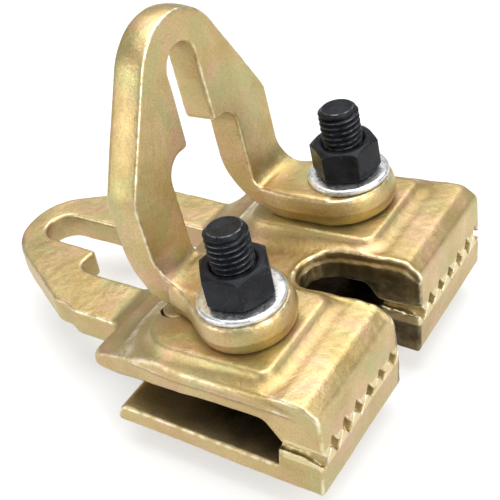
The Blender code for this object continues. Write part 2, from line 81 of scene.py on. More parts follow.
LOWER_HALF, LOWER_PLATE, LIP_X, DRAFT = 70.5, 7.5, 31.5, 0.075
SLOT_X, SLOT_SHIFT = 11.0, 1.1
VALLEY, CREST, PITCH, TOOTH_GAP, UPPER_TOOTH_SHIFT = 15.2, 19.2, 9.0, 1.75, 1.5
GROOVES, GROOVE_WIDTH, GROOVE_DEPTH = (37.5, 44.0), 3.8, 2.4
NICK_REAR, NICK_FRONT, NICK_DEPTH, NICK_SPREAD = 43.0, 50.0, 2.5, 1.0

# Mouth notch: centre of its round end, and radius and height at both ends of its taper.
NOTCH_X = 16.3
LOWER_NOTCH = (8.3, -5.0, 10.0, 25.0)
UPPER_NOTCH = (10.2, 12.0, 11.4, 46.0)

# Upper jaw: half width at three stations along X, and round corner at the rear one.
UPPER_STATIONS = ((60.0, 68.8, 0.0), (-10.0, 67.2, 0.0), (-55.3, 62.7, 4.0))
FORGED_EDGE = 1.3
# Pads: centre and half size in the seat frame's UV plane, and radii at (+,+), (+,-), (-,+), (-,-).
PAD_TOP, PAD_ROOT, PAD_U, PAD_V = 32.2, 24.0, 19.4, 39.5
PAD_HALF, PAD_CORNERS = (29.2, 22.4), (4.0, 5.0, 17.0, 9.0)
LOOP_LOW, LOOP_TOP, LOOP_ROOT, LOOP_TIP, LOOP_OFFSET = 8.5, 21.0, -47.0, -140.5, 1.2
LOOP_KEY_END, LOOP_KEY_END_R = -52.0, 8.0

# Half width, nose radius, shoulder from the tip and its radius, of the loop's and the arch's outlines.
LOOP_HOOK = (42.6, 26.0, 48.5, 9.0)
ARCH_HOOK = (45.0, 25.7, 52.2, 12.0)
# Web at the tip, neck half width, step from the tip, eye half width and its corner radius.
LOOP_KEY = (10.5, 8.8, 43.9, 21.9, 6.0)
ARCH_KEY = (12.2, 8.6, 48.5, 22.1, 8.5)
KEY_STEP_SLANT = 0.7

ARCH_TOP, ARCH_FRONT, ARCH_THICK = 132.0, -5.2, 13.7
ARCH_LEAN = math.radians(1.15)
FOOT_LOW, FOOT_TOP, FOOT_R, FOOT_FRONT = 32.5, 44.4, 18.5, 46.9
FOOT_INNER_R, FOOT_INNER_Y = 21.0, 19.3
INNER_BEND, INNER_BEND_AT_EDGE, OUTER_BEND = 4.5, 13.0, 28.0

# Sample spacing of the forgings and hexagons, and how far round a point its convexity is read.
FORGED_STEP = 0.68
FORGED_BEND_REACH = 1.1
HEX_STEP, HEX_BEND_REACH = 0.34, 0.5
HEX_REACH, HEX_MARGIN = 14.6, 0.8
FLOOR_GAP, FLOOR_HALF = 0.1, 4000.0


# ---------------------------------------------------------------- outlines and distance fields


def arc(centre, radius, start, end, steps):
    """Points of a circular arc; angles in degrees."""
    angles = [math.radians(start + (end - start) * i / steps) for i in range(steps + 1)]
    return [(centre[0] + radius * math.cos(a), centre[1] + radius * math.sin(a)) for a in angles]


def rounded(corners, steps=8):
    """Outline through (x, y, radius) corners, each corner replaced by its fillet arc."""
    points = []
    for index, (x, y, radius) in enumerate(corners):
        here = Vector((x, y))
        before = Vector(corners[index - 1][:2]) - here
        after = Vector(corners[(index + 1) % len(corners)][:2]) - here
        if radius <= 0.0:
            points.append((x, y))
            continue
        before.normalize()
        after.normalize()
        half = before.angle(after) / 2.0
        centre = here + (before + after).normalized() * (radius / math.sin(half))
        reach = radius / math.tan(half)
        first = here + before * reach - centre
        last = here + after * reach - centre
        turn = first.angle_signed(last)
        for i in range(steps + 1):
            spoke = first.copy()
            spoke.rotate(Matrix.Rotation(-turn * i / steps, 2))
            points.append(tuple(centre + spoke))
    return points


def mirrored(half):
    """Whole outline from its upper half, which ends on the first axis."""
    return half + [(x, -y) for x, y in reversed(half[:-1])]


def hook_half(tip, end, hook):
    """Upper half of a loop's outline, from end to the nose, for a tip that points backwards."""
    half_width, nose_r, shoulder_reach, shoulder_r = hook
    shoulder, nose = tip + shoulder_reach, tip + nose_r
    reach = math.hypot(shoulder - nose, half_width)
    flank = math.atan2(half_width, shoulder - nose) + math.acos(nose_r / reach)
    nose_arc = arc((nose, 0.0), nose_r, math.degrees(flank), 180.0, 24)
    corners = [(end, half_width, 0.0), (shoulder, half_width, shoulder_r), (*nose_arc[0], 0.0)]
    return rounded([(end, 0.0, 0.0)] + corners)[1:] + nose_arc[1:]


def key_half(tip, end, end_radius, key):
    """Upper half of a keyhole's outline: a narrow neck that steps out to a wide eye."""
    tip_web, narrow, step_reach, wide, wide_r = key
    neck, step = tip + tip_web + narrow, tip + step_reach
    neck_arc = arc((neck, 0.0), narrow, 90.0, 180.0, 14)
    corners = [
        (end, 0.0, 0.0),
        (end, wide, end_radius),
        (step - KEY_STEP_SLANT, wide, wide_r),
        (step + KEY_STEP_SLANT, narrow + 0.4, 1.8),
        (*neck_arc[0], 0.0),
    ]
    return rounded(corners)[1:] + neck_arc[1:]


def outline_field(points, x, y):
    """Signed distance from grid points to a closed outline, negative inside."""
    shape = np.broadcast(x, y).shape
    nearest = np.full(shape, 1e9)
    inside = np.zeros(shape, bool)
    for (ax, ay), (bx, by) in zip(points, points[1:] + points[:1]):
        ex, ey = bx - ax, by - ay
        size = ex * ex + ey * ey
        if size < 1e-12:
            continue
        wx, wy = x - ax, y - ay
        t = np.clip((wx * ex + wy * ey) / size, 0.0, 1.0)
        nearest = np.minimum(nearest, (wx - ex * t) ** 2 + (wy - ey * t) ** 2)
        if ey != 0.0:
            spans = (ay > y) != (by > y)
            inside ^= spans & (x < ex * wy / ey + ax)
    return np.where(inside, -1.0, 1.0) * np.sqrt(nearest)


def meet(a, b, radius):
    """Both shapes at once, with the edge between them rounded."""
    spread = np.hypot(np.maximum(a + radius, 0.0), np.maximum(b + radius, 0.0))
    return np.minimum(np.maximum(a, b), -radius) + spread


def join(a, b, radius):
    """Either shape, with a fillet between them."""
    spread = np.hypot(np.maximum(radius - a, 0.0), np.maximum(radius - b, 0.0))
    return np.maximum(np.minimum(a, b), radius) - spread


def ramp(value, low, high):
    """Smooth step from 0 at low to 1 at high."""
    t = np.clip((value - low) / (high - low), 0.0, 1.0)
    return t * t * (3.0 - 2.0 * t)


def rounded_box(x, y, half, radii):
    """Distance to a centred rectangle whose four corners differ: radii at (+,+), (+,-), (-,+), (-,-)."""
    radius = np.where(x > 0.0, np.where(y > 0.0, radii[0], radii[1]), np.where(y > 0.0, radii[2], radii[3]))
    qx, qy = np.abs(x) - half[0] + radius, np.abs(y) - half[1] + radius
    outside = np.hypot(np.maximum(qx, 0.0), np.maximum(qy, 0.0))
    return np.minimum(np.maximum(qx, qy), 0.0) + outside - radius


class Grid:
    """Regular sample points of a box, as three open arrays that broadcast."""

    def __init__(self, low, high, step):
        self.step = step
        self.low = np.array(low, float)
        self.axes = [np.arange(a, b + step, step) for a, b in zip(low, high)]
        self.x = self.axes[0][:, None, None]
        self.y = self.axes[1][None, :, None]
        self.z = self.axes[2][None, None, :]
        self.shape = tuple(len(a) for a in self.axes)

    def noise(self, scale, seed):
        """Smooth seeded lumps of about scale mm, from about -1 to 1. scale may be one per axis."""
        scales = (scale,) * 3 if np.isscalar(scale) else scale
        random = np.random.RandomState(seed)
        values = random.uniform(-1.0, 1.0, [int(np.ptp(a) / s) + 3 for a, s in zip(self.axes, scales)])
        for axis, (points, size) in enumerate(zip(self.axes, scales)):
            t = (points - points[0]) / size
            low = np.floor(t).astype(int)
            part = t - low
            fit = [1, 1, 1]
            fit[axis] = -1
            part = (part * part * (3.0 - 2.0 * part)).reshape(fit)
            values = np.take(values, low, axis) * (1.0 - part) + np.take(values, low + 1, axis) * part
        return values


# ---------------------------------------------------------------- fields to meshes


def look_up(field, grid, points):
    """Field value at points, by linear interpolation."""
    place = (points - grid.low) / grid.step
    limit = np.array(field.shape) - 2
    cell = np.clip(np.floor(place).astype(int), 0, limit)
    part = np.clip(place - cell, 0.0, 1.0)
    total = np.zeros(len(points))
    for dx, dy, dz in product((0, 1), repeat=3):
        weight = (
            np.where(dx, part[:, 0], 1.0 - part[:, 0])
            * np.where(dy, part[:, 1], 1.0 - part[:, 1])
            * np.where(dz, part[:, 2], 1.0 - part[:, 2])
        )
        total += weight * field[cell[:, 0] + dx, cell[:, 1] + dy, cell[:, 2] + dz]
    return total


def crossing_points(field, grid, cells):
    """Mean place, in mm, where the surface crosses the edges of each cell."""
    total, hits = np.zeros((len(cells), 3)), np.zeros(len(cells))
    for axis in range(3):
        others = [a for a in range(3) if a != axis]
        for first, second in product((0, 1), repeat=2):
            start = cells.copy()
            start[:, others[0]] += first
            start[:, others[1]] += second
            end = start.copy()
            end[:, axis] += 1
            a, b = field[tuple(start.T)], field[tuple(end.T)]
            crossed = (a < 0.0) != (b < 0.0)
            point = start.astype(float)
            point[:, axis] += np.where(crossed, a / np.where(crossed, a - b, 1.0), 0.0)
            total[crossed] += point[crossed]
            hits[crossed] += 1
    return grid.low + grid.step * total / hits[:, None]


def cell_quads(inside, number):
    """Quads that join the points of the four cells round each edge with one end inside."""
    quads = []
    for axis in range(3):
        others = [a for a in range(3) if a != axis]
        low = [slice(1, -1)] * 3
        high = [slice(1, -1)] * 3
        low[axis], high[axis] = slice(None, -1), slice(1, None)
        starts, ends = inside[tuple(low)], inside[tuple(high)]
        edge = np.argwhere(starts != ends)
        leaving = starts[tuple(edge.T)]
        edge[:, others[0]] += 1
        edge[:, others[1]] += 1
        corners = []
        for first, second in ((0, 0), (1, 0), (1, 1), (0, 1)):
            near = edge.copy()
            near[:, others[0]] -= 1 - first
            near[:, others[1]] -= 1 - second
            corners.append(number[tuple(near.T)])
        quad = np.stack(corners, 1)
        flip = leaving if axis == 1 else ~leaving
        quad[flip] = quad[flip][:, ::-1]
        quads.append(quad)
    return np.concatenate(quads)


def surface_cells(field, grid):
    """First guess of the surface: one point for each cell that it crosses, and quads between them."""
    inside = field < 0.0
    count = np.zeros([n - 1 for n in field.shape], np.int8)
    for dx, dy, dz in product((0, 1), repeat=3):
        nx, ny, nz = count.shape
        count += inside[dx : nx + dx, dy : ny + dy, dz : nz + dz]
    active = (count > 0) & (count < 8)
    cells = np.argwhere(active)
    number = np.full(active.shape, -1, np.int64)
    number[active] = np.arange(len(cells))
    return crossing_points(field, grid, cells), cell_quads(inside, number)


def settle(points, quads, field, grid, rounds):
    """Even out the points and put them back on the surface, round after round."""
    pairs = np.concatenate([quads[:, [i, (i + 1) % 4]] for i in range(4)])
    pairs = np.concatenate([pairs, pairs[:, ::-1]])
    degree = np.bincount(pairs[:, 0], minlength=len(points))[:, None]
    reach = 0.35 * grid.step
    for _ in range(rounds):
        total = [np.bincount(pairs[:, 0], points[pairs[:, 1], a], len(points)) for a in range(3)]
        points = points + 0.5 * (np.stack(total, 1) / degree - points)
        for _ in range(2):
            value = look_up(field, grid, points)
            ahead = [look_up(field, grid, points + reach * axis) for axis in np.eye(3)]
            behind = [look_up(field, grid, points - reach * axis) for axis in np.eye(3)]
            slope = (np.stack(ahead, 1) - np.stack(behind, 1)) / (2.0 * reach)
            steep = np.maximum((slope**2).sum(1), 0.2)
            move = np.clip(value / steep, -0.5 * grid.step, 0.5 * grid.step)
            points = points - move[:, None] * slope
    return points


def seat_to_world(points):
    """World coordinates, in mm, of seat-frame points."""
    u, y, w = points.T
    return np.stack([SEAT_X + u * SEAT_COS - w * SEAT_SIN, y, SEAT_Z + u * SEAT_SIN + w * SEAT_COS], 1)


def new_piece(name, points, faces, smooth=True):
    """Mesh object from points in mm and faces, as one array or as a list of mixed faces."""
    mesh = bpy.data.meshes.new(name)
    points = np.asarray(points, float) * MM
    if isinstance(faces, np.ndarray):
        mesh.vertices.add(len(points))
        mesh.vertices.foreach_set("co", points.astype(np.float32).ravel())
        sides = faces.shape[1]
        mesh.loops.add(faces.size)
        mesh.loops.foreach_set("vertex_index", faces.astype(np.int32).ravel())
        mesh.polygons.add(len(faces))
        mesh.polygons.foreach_set("loop_start", np.arange(0, faces.size, sides, dtype=np.int32))
        mesh.update(calc_edges=True)
    else:
        mesh.from_pydata([tuple(p) for p in points], [], faces)
    mesh.validate()
    if smooth:
        mesh.shade_smooth()
    item = bpy.data.objects.new(name, mesh)
    bpy.context.scene.collection.objects.link(item)
    return item


def paint(item, name, values):
    """Store one number per vertex for the material to read."""
    layer = item.data.attributes.new(name, "FLOAT", "POINT")
    layer.data.foreach_set("value", np.asarray(values, np.float32))


def convexity(points, field, grid, reach):
    """How convex (above 0) or hollow (below 0) the surface is at each point, from -1 to 1."""
    around = sum(look_up(field, grid, points + reach * s * a) for a in np.eye(3) for s in (-1, 1)) / 6.0
    return np.clip(around / (0.32 * reach), -1.0, 1.0)


def mesh_field(name, field, grid, seated=False, painted_light=None):
    """Fine mesh of a forging's field, with its convexity and any painted shade and highlight mask."""
    points, quads = surface_cells(field, grid)
    points = settle(points, quads, field, grid, 3)
    # Mask of painted light: above 0 is painted shade, below 0 is a painted highlight on the teeth.
    dark = painted_light(*points.T) if painted_light else np.zeros(len(points))
    bend = convexity(points, field, grid, FORGED_BEND_REACH)
    if seated:
        points = seat_to_world(points)
    item = new_piece(name, points, quads)
    paint(item, "bend", bend)
    paint(item, "painted_light", dark)
    return item


# ---------------------------------------------------------------- forged pieces


def tooth_height(y):
    """Zigzag of the lower teeth across the jaw."""
    return VALLEY + (CREST - VALLEY) * (1.0 - 2.0 * np.abs((y / PITCH + 0.5) % 1.0 - 0.5))


def front_nick(x, y, shift):
    """Depth of the uneven wedge-shaped nicks where the tooth files ran out at the front face."""
    tooth = (y - shift) / PITCH
    across = np.abs(tooth % 1.0 - 0.5) * 2.0
    depth = NICK_DEPTH + NICK_SPREAD * np.sin(np.floor(tooth) * 5.3 + 1.0)
    return depth * ramp(x, NICK_REAR, NICK_FRONT) * np.clip(1.0 - across * 1.35, 0.0, 1.0)


def groove_rise(x, centre):
    """Height above a cross groove's bottom at distance from its centre line."""
    return np.abs(x - centre) * 2.0 * GROOVE_DEPTH / GROOVE_WIDTH


def from_notch_axis(x, y):
    """Distance from the mouth notch's centre line, which ends at its round end."""
    return np.hypot(np.minimum(x - NOTCH_X, 0.0), y)


def notch_radius(z, notch):
    """Radius of a tapered notch at height z."""
    low_r, low, high_r, high = notch
    return low_r + (z - low) / (high - low) * (high_r - low_r)


def lit_teeth(x, z, low, high):
    """Where the teeth get a painted highlight, 0 to 1."""
    return ramp(x, 33.5, 35.0) * ramp(z, low - 0.6, low) * ramp(-z, -high - 0.6, -high)


# Side outline of the lower jaw in XZ, as (x, z, corner radius).
LOWER_PROFILE = [
    (-42.0, 0.0, 1.5),
    (49.4, 0.0, 1.0),
    (50.5, 20.2, 0.0),
    (LIP_X + 1.0, 20.2, 0.0),
    (LIP_X, LOWER_PLATE, 1.5),
    (-39.0, LOWER_PLATE, 3.0),
]


def lower_jaw_field(grid):
    """Plate, raised toothed lip, mouth notch and bolt slots of the lower jaw."""
    x, y, z = grid.x, grid.y, grid.z
    xs, _, zs = grid.axes
    side = outline_field(rounded(LOWER_PROFILE), xs[:, None], zs[None, :])[:, None, :]
    width = (np.abs(y) + z * DRAFT - LOWER_HALF) / math.hypot(1.0, DRAFT)
    jaw = meet(side, width, 1.1)
    top = tooth_height(y) + np.zeros_like(x)
    for centre in GROOVES:
        top = np.minimum(top, CREST - GROOVE_DEPTH + groove_rise(x, centre))
    top = top - front_nick(x, y, 0.0) + 0.2 * grid.noise(1.9, 4)
    jaw = meet(jaw, (z - top) * 0.75, 0.15)
    notch = from_notch_axis(x, y) - notch_radius(z, LOWER_NOTCH) + 0.12 * grid.noise((2.2, 2.2, 30.0), 5)
    jaw = meet(jaw, -notch, 0.9)
    for sign in SIDES.values():
        slot = np.hypot(np.maximum(np.abs(x - SLOT_X) - SLOT_SHIFT, 0.0), y - sign * BOLT_Y) - HOLE_R
        jaw = meet(jaw, -slot, 0.4)
    return jaw + 0.14 * grid.noise(19.0, 1) + 0.06 * grid.noise(6.5, 2)


# Side outlines of the upper jaw in XZ, as (x, z, corner radius): plate, loop root and whole top.
PLATE_PROFILE = [
    (-60.0, 16.6, 0.0),
    (-42.0, 17.7, 10.0),
    (-13.0, 23.4, 20.0),
    (9.0, 25.8, 0.0),
    (26.8, 27.2, 4.0),
    (33.4, 18.6, 3.0),
    (34.4, 13.0, 0.0),
    (50.5, 13.0, 0.0),
    (49.6, 70.0, 0.0),
    (-60.0, 70.0, 0.0),
]
ROOT_PROFILE = [
    (-80.0, LOOP_LOW, 0.0),
    (-46.5, LOOP_LOW, 1.5),
    (-44.0, 13.0, 6.0),
    (-34.0, 23.5, 0.0),
    (-28.0, 28.0, 0.0),
    (-28.0, 70.0, 0.0),
    (-80.0, 70.0, 0.0),
]
SKYLINE = [
    (60.0, 29.5, 0.0),
    (44.0, 40.2, 5.0),
    (36.0, 40.2, 8.0),
    (24.0, 38.6, 20.0),
    (9.0, 36.6, 20.0),
    (-8.0, 34.2, 20.0),
    (-30.0, 30.9, 20.0),
    (-52.0, 24.9, 10.0),
    (-59.5, LOOP_TOP, 8.0),
    (-150.0, LOOP_TOP, 0.0),
]

# Heights, as (x, z), below which the upper jaw gets painted shade.
UNDERSIDE = ((-60.0, 18.6), (-42.0, 19.6), (-13.0, 25.0), (9.0, 27.4), (27.0, 28.8))


def lower_painted_light(x, y, z):
    """Painted shade of the hollow between the jaws on the lower jaw: 1 is dark, and -1 is a painted
    highlight on the teeth.
    """
    plate = ramp(z, 5.5, 7.2) * ramp(-x, -33.0, -31.5)
    inward = 0.22 + 0.78 * ramp(x, -34.0, 6.0) * ramp(-np.abs(y), -70.0, -54.0)
    notch = 1.4 * ramp(-from_notch_axis(x, y), -11.5, -9.5)
    edge = ramp(np.abs(y), 69.9, 68.6) * ramp(x, -39.5, -36.0)
    dark = np.clip(plate * inward * np.clip(edge, 0.25, 1.0) + notch, 0.0, 1.0)
    return dark - lit_teeth(x, z, 13.5, 19.0)


def upper_painted_light(x, y, z):
    """Painted shade of the upper jaw's underside and notch wall: 1 is dark, and -1 is a painted highlight
    on the teeth.
    """
    under = np.interp(x, *zip(*UNDERSIDE))
    below = ramp(under - z, 0.0, 1.5) * ramp(-x, -33.5, -29.0) * ramp(-np.abs(y), -66.5, -65.0)
    below = below * ramp(x, -50.0, -44.0)
    notch = ramp(-from_notch_axis(x, y), -12.6, -11.6) * ramp(-z, -38.5, -33.0)
    return np.clip(0.95 * below + 0.75 * notch, 0.0, 1.0) - lit_teeth(x, z, 15.0, 21.0)


def upper_body(grid):
    """Plate, lip and rear loop under one smooth skyline, before pads and holes."""
    x, y, z = grid.x, grid.y, grid.z
    xs, ys, zs = grid.axes
    side = outline_field(rounded(PLATE_PROFILE), xs[:, None], zs[None, :])[:, None, :]
    corners = [*UPPER_STATIONS] + [(a, -b, r) for a, b, r in reversed(UPPER_STATIONS)]
    plan = outline_field(rounded(corners), xs[:, None], ys[None, :])[:, :, None]
    jaw = meet(side, plan, FORGED_EDGE)
    root = outline_field(rounded(ROOT_PROFILE), xs[:, None], zs[None, :])[:, None, :]
    jaw = join(jaw, meet(root, np.abs(y - LOOP_OFFSET) - LOOP_HOOK[0] + 0.2, FORGED_EDGE), 3.0)
    outline = mirrored(hook_half(LOOP_TIP, LOOP_ROOT, LOOP_HOOK))
    hook = outline_field(outline, xs[:, None], (ys - LOOP_OFFSET)[None, :])[:, :, None]
    fillet = 1.6 + 6.4 * ramp(-y, 20.0, 40.0)
    jaw = join(jaw, meet(hook, LOOP_LOW - z, FORGED_EDGE), fillet)
    below = [(-150.0, -40.0, 0.0), (60.0, -40.0, 0.0)]
    top = outline_field(rounded(below + SKYLINE), xs[:, None], zs[None, :])[:, None, :]
    rolled = ramp(np.abs(y), 44.0, 48.0) * ramp(-x, 48.0, 53.0)
    return meet(jaw, top, 1.4 + 1.8 * rolled), plan


def add_pads(jaw, plan, y, u, w):
    """The two raised pads under the arch's feet, with flared walls, kept inside the plate's plan."""
    for sign in SIDES.values():
        plate = rounded_box(u - PAD_U, sign * y - PAD_V, PAD_HALF, PAD_CORNERS)
        drop = np.maximum(PAD_TOP - w, 0.0)
        wall = (plate - 0.45 * drop - 0.11 * drop**2) * 0.85
        pad = meet(meet(wall, w - PAD_TOP, 1.2), np.maximum(PAD_ROOT - w, plan), 0.8)
        jaw = join(jaw, pad, 3.4)
    return jaw


def cut_upper_notch(jaw, grid):
    """Mouth notch with a rough wall and a rim that the trimming left raised, more on the near side."""
    x, y, z = grid.x, grid.y, grid.z
    top = np.interp(grid.axes[0], *zip(*[corner[:2] for corner in sorted(SKYLINE)]))[:, None, None]
    rim = 1.1 * ramp(z, top - 3.4, top - 2.6)
    notch = from_notch_axis(x, y) - (notch_radius(z, UPPER_NOTCH) + rim)
    raised = np.exp(-(((notch - 1.4) / 0.9) ** 2)) * ramp(z, top - 4.0, top - 1.0)
    near = 0.55 - 0.3 * ramp(y, -8.0, 8.0)
    jaw = jaw - near * raised * (1.0 + 0.7 * grid.noise(2.6, 8))
    return meet(jaw, -notch - 0.22 * grid.noise((2.0, 2.0, 34.0), 6) - 0.14 * grid.noise(2.8, 7), 0.6)


def cut_upper_teeth(jaw, grid):
    """Teeth across the lip, with two cross grooves and nicks at the front."""
    x, y, z = grid.x, grid.y, grid.z
    floor = tooth_height(y - UPPER_TOOTH_SHIFT) + TOOTH_GAP + np.zeros_like(x) + 0.22 * grid.noise(1.9, 9)
    for centre in GROOVES:
        floor = np.maximum(floor, VALLEY + TOOTH_GAP + GROOVE_DEPTH - groove_rise(x, centre))
    floor = floor + front_nick(x, y, UPPER_TOOTH_SHIFT + PITCH / 2.0)
    return np.where(x > 25.0, meet(jaw, (floor - z) * 0.75, 0.15), jaw)


def upper_jaw_field(grid):
    """Sloping plate, toothed lip, pads, ramp, rear loop and holes of the upper jaw."""
    x, y, z = grid.x, grid.y, grid.z
    xs, ys = grid.axes[:2]
    u = (x - SEAT_X) * SEAT_COS + (z - SEAT_Z) * SEAT_SIN
    w = -(x - SEAT_X) * SEAT_SIN + (z - SEAT_Z) * SEAT_COS
    jaw, plan = upper_body(grid)
    jaw = add_pads(jaw, plan, y, u, w)
    outline = mirrored(key_half(LOOP_TIP, LOOP_KEY_END, LOOP_KEY_END_R, LOOP_KEY))
    key = outline_field(outline, xs[:, None], (ys - LOOP_OFFSET)[None, :])[:, :, None]
    jaw = meet(jaw, -key, 1.4)
    jaw = cut_upper_notch(jaw, grid)
    jaw = cut_upper_teeth(jaw, grid)
    for sign in SIDES.values():
        jaw = meet(jaw, HOLE_R - np.hypot(u - BOLT_U, y - sign * BOLT_Y), 0.4)
        jaw = meet(jaw, PIN_HOLE_R - np.hypot(u - PIN_HOLE_U, y - sign * BOLT_Y), 0.3)
    return jaw + 0.18 * grid.noise(21.0, 11) + 0.11 * grid.noise(7.0, 12) + 0.04 * grid.noise(2.8, 13)


def arch_profile(inner_bend):
    """Side outline of the arch plate and its feet, in the seat frame's UW plane."""
    top = ARCH_TOP + 20.0
    drift = (top - FOOT_TOP) * math.tan(ARCH_LEAN)
    back = ARCH_FRONT - ARCH_THICK
    corners = [
        (BOLT_U, FOOT_LOW, 0.0),
        (BOLT_U, FOOT_TOP, 0.0),
        (ARCH_FRONT, FOOT_TOP, inner_bend),
        (ARCH_FRONT - drift, top, 0.0),
        (back - drift, top, 0.0),
        (back, FOOT_LOW, OUTER_BEND),
    ]
    return rounded(corners, steps=20)


def foot_plan():
    """Outline of the left foot from above: flared start, straight inner side and round eye."""
    inner = arc((FOOT_FRONT - FOOT_INNER_R, FOOT_INNER_Y + FOOT_INNER_R), FOOT_INNER_R, -90.0, 0.0, 30)
    outer = arc((FOOT_FRONT - FOOT_R, BOLT_Y), FOOT_R, 2.0, 125.0, 36)
    flare = [(-2.0, 45.6), (-2.0, 23.2), (1.5, 21.3), (6.0, 19.8), (11.0, FOOT_INNER_Y)]
    return flare + inner + outer + [(8.0, 49.0)]


def upright(half):
    """Mirrored outline turned into the seat frame's YW plane, with its tip up."""
    return [(b, -a) for a, b in mirrored(half)]


def add_feet(arch, grid):
    """The two barrel-sided feet with ragged rims and a parting line, and the bolt holes in them."""
    u, y, w = grid.x, grid.y, grid.z
    us, ys, _ = grid.axes
    centre, half = (FOOT_LOW + FOOT_TOP) / 2.0, (FOOT_TOP - FOOT_LOW) / 2.0
    level = (w - centre) / half
    ragged = 0.25 * grid.noise((1.6, 1.6, 5.0), 23)
    for sign in SIDES.values():
        plan = [(a, sign * b) for a, b in foot_plan()]
        foot = outline_field(plan, us[:, None], ys[None, :])[:, :, None]
        foot = foot + 1.5 * level**2 + 0.1 + ragged * ramp(w, FOOT_TOP - 2.0, FOOT_TOP)
        foot = meet(foot, np.abs(w - centre) - half, 1.1)
        foot = foot - 0.3 * np.exp(-(((w - centre + 0.4) / 0.45) ** 2)) * ramp(u, -3.0, 2.0)
        arch = join(arch, foot, 2.0)
        arch = meet(arch, HOLE_R - np.hypot(u - BOLT_U, y - sign * BOLT_Y), 0.5)
    return arch


def pull_arch_field(grid):
    """Arch plate with its keyhole, bent forward into two barrel-sided feet."""
    u, y, w = grid.x, grid.y, grid.z
    us, ys, ws = grid.axes
    # The inner bend is tight in the middle and wide at both edges.
    crisp = outline_field(arch_profile(INNER_BEND), us[:, None], ws[None, :])[:, None, :]
    soft = outline_field(arch_profile(INNER_BEND_AT_EDGE), us[:, None], ws[None, :])[:, None, :]
    side = crisp + (soft - crisp) * ramp(np.abs(y), 23.0, 42.0)
    outer = upright(hook_half(-ARCH_TOP, 0.0, ARCH_HOOK))
    face = outline_field(outer, ys[:, None], ws[None, :])[None, :, :]
    # The rim bulges at mid thickness, and its rear edge is rounder than its front edge.
    middle = ARCH_FRONT - ARCH_THICK / 2.0 - (w - FOOT_TOP) * math.tan(ARCH_LEAN)
    across = (u - middle) / (ARCH_THICK / 2.0)
    face = face + 0.9 * np.minimum(across**2, 1.2) - 0.5
    arch = meet(side, face, 2.2 - 1.7 * ramp(u - middle, -2.0, 3.0))
    inner = upright(key_half(-ARCH_TOP, 0.0, 0.0, ARCH_KEY))
    key = outline_field(inner, ys[:, None], ws[None, :])[None, :, :]
    arch = add_feet(meet(arch, -key, 1.1), grid)
    return arch + 0.14 * grid.noise(23.0, 21) + 0.07 * grid.noise(7.5, 22) + 0.03 * grid.noise(2.8, 24)


# ---------------------------------------------------------------- turned and hexagonal pieces


def hexagon_field(x, y, turn):
    """Distance to a hexagon prism's side, one corner at angle turn."""
    field = None
    for index in range(3):
        angle = math.radians(turn + 30.0 + 60.0 * index)
        flat = np.abs(x * math.cos(angle) + y * math.sin(angle)) - HEX_FLATS / 2.0
        field = flat if field is None else meet(field, flat, HEX_EDGE)
    return field


def cone_field(x, y, z, low, high):
    """Distance to the two cones that take a hexagon's corners off at low and high."""
    reach = (np.hypot(x, y) - HEX_CROWN) * math.tan(HEX_CONE)
    return np.maximum(reach + z - high, reach + low - z) * math.cos(HEX_CONE)


def nut_field(grid, turn):
    """Hexagon nut with chamfered corners and a countersunk bore."""
    x, y, z = grid.x, grid.y, grid.z
    low, high = NUT_LOW, NUT_LOW + NUT_HEIGHT
    nut = meet(hexagon_field(x, y, turn), np.maximum(z - high, low - z), HEX_EDGE)
    nut = meet(nut, cone_field(x, y, z, low, high), 0.2)
    sink = np.maximum(ramp(z, high - NUT_SINK, high), ramp(-z, -low - NUT_SINK, -low)) * 0.9
    return meet(nut, NUT_BORE_R + sink - np.hypot(x, y), 0.15)


def head_field(grid):
    """Hexagon bolt head with a washer face under it."""
    x, y, z = grid.x, grid.y, grid.z
    high, low = HEAD_TOP, HEAD_TOP - HEAD_HEIGHT
    head = meet(hexagon_field(x, y, 0.0), np.maximum(z - high + 0.6, low - z), HEX_EDGE)
    head = meet(head, cone_field(x, y, z, low, high + 4.0), HEX_EDGE)
    face = meet(np.hypot(x, y) - HEAD_FACE_R, np.abs(z - high + 2.0) - 2.0, HEX_EDGE)
    dish = 0.5 * (1.0 - ramp(np.hypot(x, y), 6.0, 8.5))
    return np.maximum(join(head, face, 0.2), low + dish - z)


def ring(radius, angles, z):
    """Points of one ring at height z; the radius may differ round it."""
    return np.stack([radius * np.cos(angles), radius * np.sin(angles), np.full(len(angles), float(z))], 1)


def skin(rings, tips=None):
    """Points and faces through rings: closed round, or ended by points on the axis at heights tips."""
    steps, count = len(rings[0]), len(rings)
    points = np.concatenate(rings)
    faces = []
    for i in range(count - 1 if tips else count):
        a, b = i * steps, (i + 1) % count * steps
        faces += [(a + j, b + j, b + (j + 1) % steps, a + (j + 1) % steps) for j in range(steps)]
    if tips:
        top, bottom, last = len(points), len(points) + 1, (count - 1) * steps
        points = np.concatenate([points, [[0.0, 0.0, z] for z in tips]])
        faces += [(top, j, (j + 1) % steps) for j in range(steps)]
        faces += [(bottom, last + (j + 1) % steps, last + j) for j in range(steps)]
    return points, faces


def lathe(profile, steps, wobble=None):
    """Points and faces turned from (r, z) rows that start and end on the axis, or close round."""
    closed = profile[0][0] > 0.0
    angles = np.linspace(0.0, 2.0 * math.pi, steps, endpoint=False)
    rings = []
    for r, z in profile if closed else profile[1:-1]:
        rings.append(ring(r + (wobble(angles, r) if wobble else 0.0), angles, z))
    return skin(rings, None if closed else (profile[0][1], profile[-1][1]))


def thread_radius(angle, w):
    """Radius of the rolled thread: flat crests, straight flanks and round roots."""
    phase = (w / THREAD_PITCH - angle / (2.0 * math.pi)) % 1.0
    wave = 1.0 - np.abs(2.0 * phase - 1.0)
    return BOLT_R - THREAD_DEPTH * (1.0 - np.clip((wave - 0.14) / 0.7, 0.0, 1.0))


